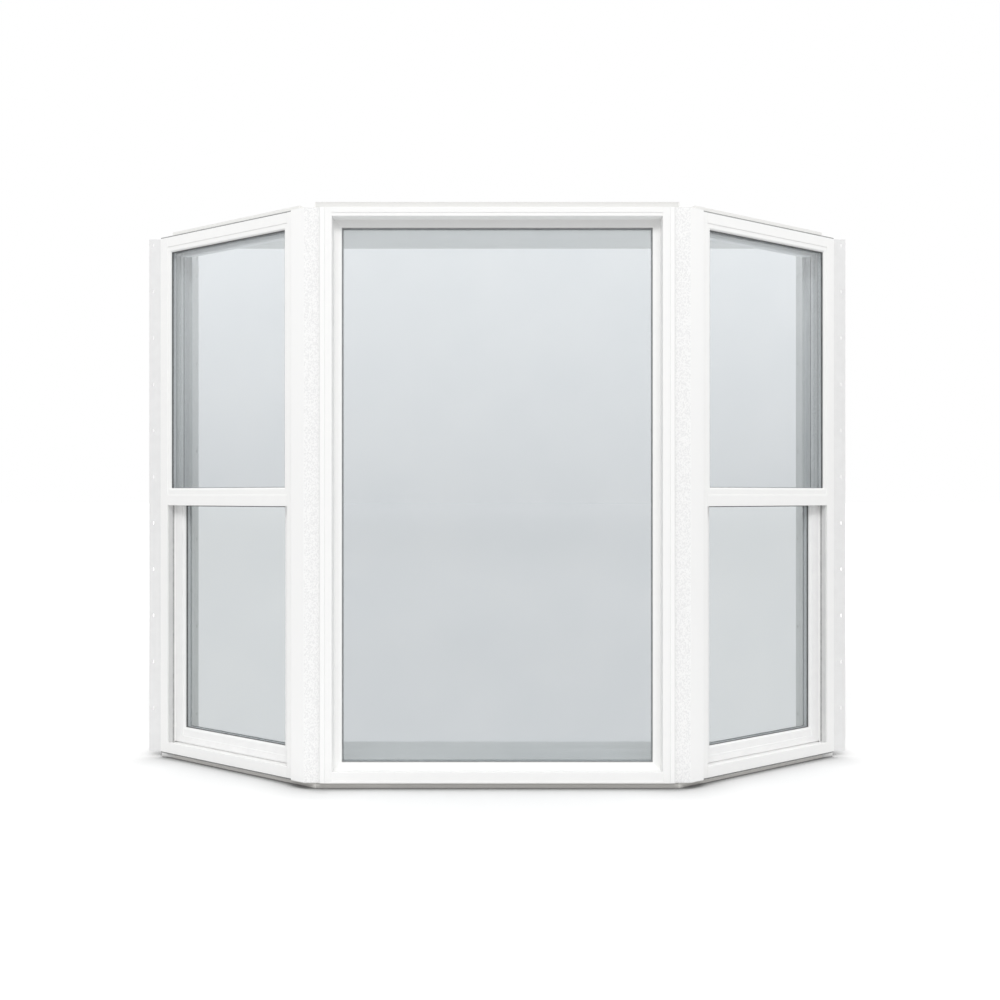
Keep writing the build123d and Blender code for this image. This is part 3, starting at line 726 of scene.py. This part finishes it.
def add_tilt_latches():
    """A sliding thumb latch near each end of the lower sash's top rail."""
    for name, _ in FLANKS:
        window = WINDOWS[name]
        top = window.extent(f"{name}_sash_top_rail")[1][2]
        (_, front, _), (_, back, _) = window.extent(f"{name}_sash_outer_stile")
        depth = (front + back) / 2
        made = bmesh.new()
        for hand in (-1, 1):
            middle = hand * (window.width / 2 - JAMB_FACE - LATCH_OFF_JAMB)
            for length, width, z0, z1, shift in LATCH_BLOCKS:
                loops = []
                for z, less in ((z0, 0), (z1 - LATCH_BEVEL[1], 0), (z1, LATCH_BEVEL[0])):
                    a, b = (length / 2 - less) * MM, (width / 2 - less) * MM
                    r = (LATCH_CORNER - less) * MM
                    outline = rounded(middle - hand * shift * MM, depth, a, b, r)
                    loops.append([window.place(s, n, top + z * MM) for s, n in outline])
                loft(made, loops)
            for k in range(LATCH_BARS):
                s = middle - hand * THUMB_SHIFT * MM + (k - (LATCH_BARS - 1) / 2) * BAR_PITCH * MM
                bar = []
                for ds, dn in BAR_OUTLINE:
                    bar.append(window.place(s + ds * MM, depth + dn * MM, top + BAR_FOOT * MM))
                loft(made, [bar, [p + Vector((0, 0, BAR_HEIGHT * MM)) for p in bar]])
        piece(f"{name}_tilt_latches", made, "lock")


def add_sealant():
    """A thin bead of sealant down both joints on the room side of each corner post."""
    center = WINDOWS["center"]
    width, height = SEALANT_BEAD
    turns = [math.radians(a) for a in range(0, 181, 30)]
    bead = [(math.cos(turn) * width * MM, math.sin(turn) * height * MM) for turn in turns]
    for name, side in FLANKS:
        flank = WINDOWS[name]
        low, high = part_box(f"{name}_corner_post")
        for tag, window, s, jamb in (
            ("center", center, side * center.width / 2, f"center_frame_{name}_jamb"),
            ("flank", flank, -side * flank.width / 2, f"{name}_frame_inner_jamb"),
        ):
            back = window.extent(jamb)[1][1]
            made = bmesh.new()
            upright(made, window, [(s + x, back + y) for x, y in bead], (low.z, high.z))
            piece(f"{name}_{tag}_sealant", made, "sealant", True)


add_room_gaskets()
add_jamb_strips()
add_head_liners()
add_end_blocks()
add_hole_caps(add_fasteners())
add_tilt_latches()
add_sealant()

# ---------------------------------------------------------------- camera, floor and light
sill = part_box("center_frame_sill")
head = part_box("center_frame_head")
eye_height = (sill[0][2] + head[1][2]) / 2
face_y = sill[0][1]


def add_camera():
    """The photograph's camera, level and square to the picture window."""
    data = bpy.data.cameras.new("camera")
    data.lens = CAMERA_LENS
    data.sensor_width = CAMERA_SENSOR
    data.shift_x, data.shift_y = CAMERA_SHIFT
    camera = bpy.data.objects.new("camera", data)
    camera.location = (0.0, face_y - CAMERA_DISTANCE, eye_height)
    camera.rotation_euler = (math.radians(90), 0.0, 0.0)
    bpy.context.scene.collection.objects.link(camera)
    bpy.context.scene.camera = camera


def add_floor():
    """A plain floor that looks white, keeps the object's shadow, and lights it as pale grey."""
    mesh = bpy.data.meshes.new("floor")
    r = FLOOR_REACH
    mesh.from_pydata([(-r, -r, 0), (r, -r, 0), (r, r, 0), (-r, r, 0)], [], [(0, 1, 2, 3)])
    floor = bpy.data.objects.new("floor", mesh)
    bpy.context.scene.collection.objects.link(floor)
    made, tree, shader = new_material("floor")
    path = add(tree, "ShaderNodeLightPath").outputs
    mirror = calculate(tree, "GREATER_THAN", path["Glossy Depth"], 0.5)
    place = object_place(tree)
    away = add(tree, "ShaderNodeVectorMath", {0: place}, operation="LENGTH").outputs["Value"]
    far = between(tree, away, TURNS_FAR, (0.0, 1.0))
    horizon = between(tree, away, TURNS_HORIZON, (0.0, 1.0))
    close = between(tree, away, CLOSE_ENDS, (1.0, 0.0))
    behind = between(tree, parts(tree, place)[Y], BACK_BEGINS, (0.0, 1.0))
    occlusion = add(tree, "ShaderNodeAmbientOcclusion", {"Distance": CONTACT_REACH}, samples=8)
    air = occlusion.outputs["AO"]
    shadows = []
    for least, most, darkest in (CONTACT_CORE, CONTACT_FRINGE):
        shadows.append(between(tree, air, (least, most), (darkest, 1.0)))
    contact = calculate(tree, "MINIMUM", *shadows)
    for index, socket in ((0, "Base Color"), (1, "Emission Strength")):
        through = [look[index] for look in FLOOR_THROUGH_GLASS]
        value = choose(tree, far, through[0], through[1])
        value = choose(tree, horizon, value, through[2])
        value = choose(tree, mirror, value, FLOOR_MIRRORED[index])
        lit = choose(tree, close, FLOOR_LIT_FRONT[index], FLOOR_LIT_CLOSE[index])
        lit = choose(tree, behind, lit, FLOOR_LIT_BACK[index])
        value = choose(tree, path["Is Diffuse Ray"], value, lit)
        seen = choose(tree, far, FLOOR_NEAR[index], FLOOR_FAR[index])
        value = choose(tree, path["Is Camera Ray"], value, seen)
        tree.links.new(calculate(tree, "MULTIPLY", value, contact), shader.inputs[socket])
    shader.inputs["Emission Color"].default_value = (1, 1, 1, 1)
    shader.inputs["Roughness"].default_value = 1.0
    shader.inputs["Specular IOR Level"].default_value = 0.0
    mesh.materials.append(made)


def add_world():
    """White where it is seen, also through glass. Elsewhere it is brighter overhead than low."""
    world = bpy.data.worlds.new("world")
    bpy.context.scene.world = world
    world.use_nodes = True
    tree = world.node_tree
    path = add(tree, "ShaderNodeLightPath").outputs
    rise = parts(tree, add(tree, "ShaderNodeTexCoord").outputs["Generated"])[Z]
    (low, dim), (high, bright) = REFLECTION
    mirrored = between(tree, rise, (low, high), (dim, bright))
    (low, dim), (high, bright) = SKY_LIGHT
    sky = between(tree, rise, (low, high), (dim, bright))
    mirror = calculate(tree, "GREATER_THAN", path["Glossy Depth"], 0.5)
    beyond = calculate(tree, "MAXIMUM", path["Is Glossy Ray"], path["Is Transmission Ray"])
    strength = choose(tree, beyond, sky, choose(tree, mirror, 1.0, mirrored))
    strength = choose(tree, path["Is Camera Ray"], strength, 1.0)
    tree.links.new(strength, tree.nodes["Background"].inputs["Strength"])
    tree.nodes["Background"].inputs["Color"].default_value = (1, 1, 1, 1)


def add_key():
    """One large soft light, above and in front, that shows neither itself nor its reflection."""
    data = bpy.data.lights.new("key", "AREA")
    data.shape = "RECTANGLE"
    data.size, data.size_y = KEY_SIZE
    data.energy = KEY_POWER
    key = bpy.data.objects.new("key", data)
    key.location = KEY_PLACE
    aim = Vector((0, face_y, eye_height)) - Vector(KEY_PLACE)
    key.rotation_euler = aim.to_track_quat("-Z", "Y").to_euler()
    key.visible_camera = False
    key.visible_glossy = False
    key.visible_transmission = False
    bpy.context.scene.collection.objects.link(key)


add_camera()
add_floor()
add_world()
add_key()
bpy.context.scene.view_settings.view_transform = "Standard"
